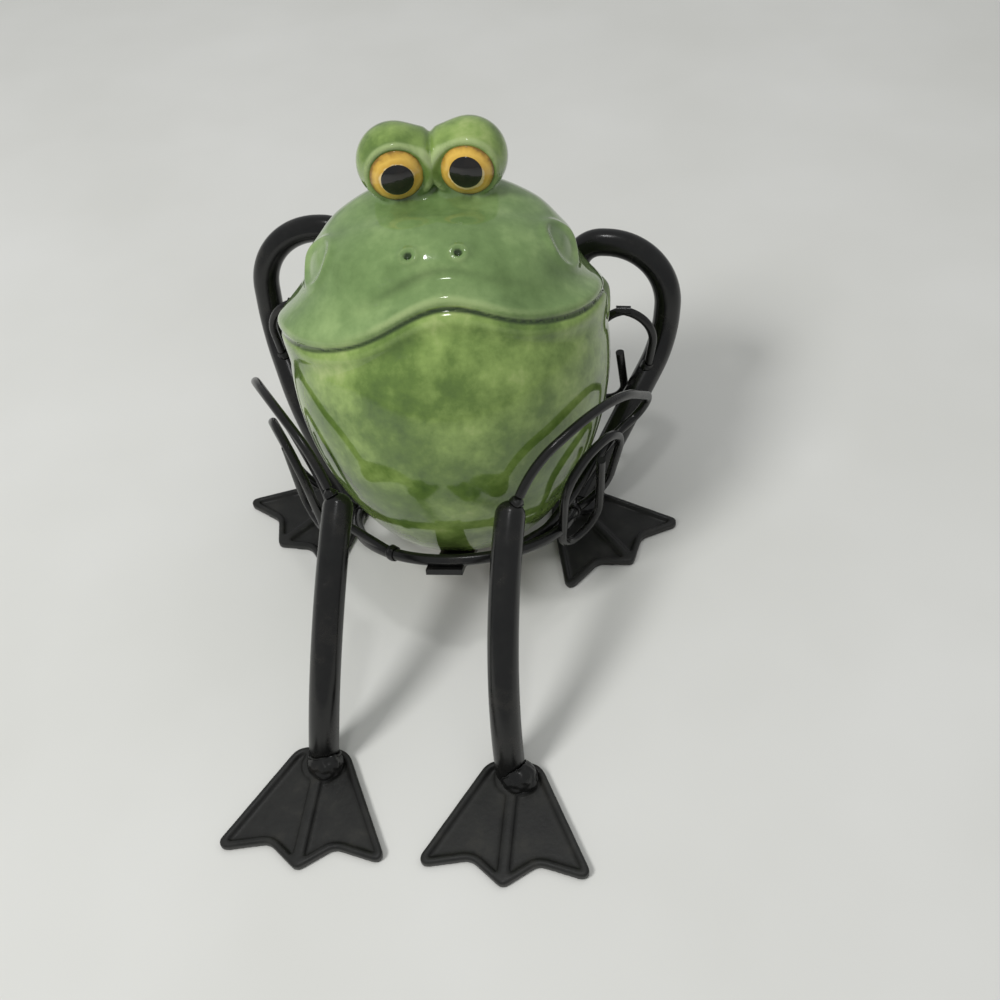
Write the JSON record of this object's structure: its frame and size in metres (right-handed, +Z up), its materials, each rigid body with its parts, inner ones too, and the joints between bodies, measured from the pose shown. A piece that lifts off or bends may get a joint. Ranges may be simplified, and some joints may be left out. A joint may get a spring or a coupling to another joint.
{
  "type": "frog figurine",
  "caption": "Sitting frog ornament: a hollow glazed body resting in a ring on a frame of bent rods with webbed feet and hands and scrolls of wire.",
  "frame": {"origin": "middle of the outline, on the table under the feet and hands", "axes": "+Z up, the frog faces -Y, +X is to the right as seen from the front"},
  "size_m": [0.1704, 0.2128, 0.1572],
  "materials": {
    "glaze": "glossy mottled green glaze",
    "black_steel": "satin black paint"
  },
  "bodies": {
    "frame": {"cradle_ring": "black_steel", "seat_strap": "black_steel", "ankle_welds": "black_steel", "wrist_welds": "black_steel", "knee_welds": "black_steel", "ring_welds": "black_steel", "curl_welds": "black_steel", "right_foot": "black_steel", "right_hand": "black_steel", "right_leg": "black_steel", "right_arm": "black_steel", "right_thigh_loop": "black_steel", "right_side_curl": "black_steel", "right_back_curl": "black_steel", "left_foot": "black_steel", "left_hand": "black_steel", "left_leg": "black_steel", "left_arm": "black_steel", "left_thigh_loop": "black_steel", "left_side_curl": "black_steel", "left_back_curl": "black_steel"},
    "frog": {"frog_casting": "glaze"}
  },
  "joints": [
    {"name": "lift_out", "type": "slide", "parent": "frame", "child": "frog", "axis": [-0.0665, 0.4179, 0.9061], "range_m": [0, 0.11]}
  ]
}
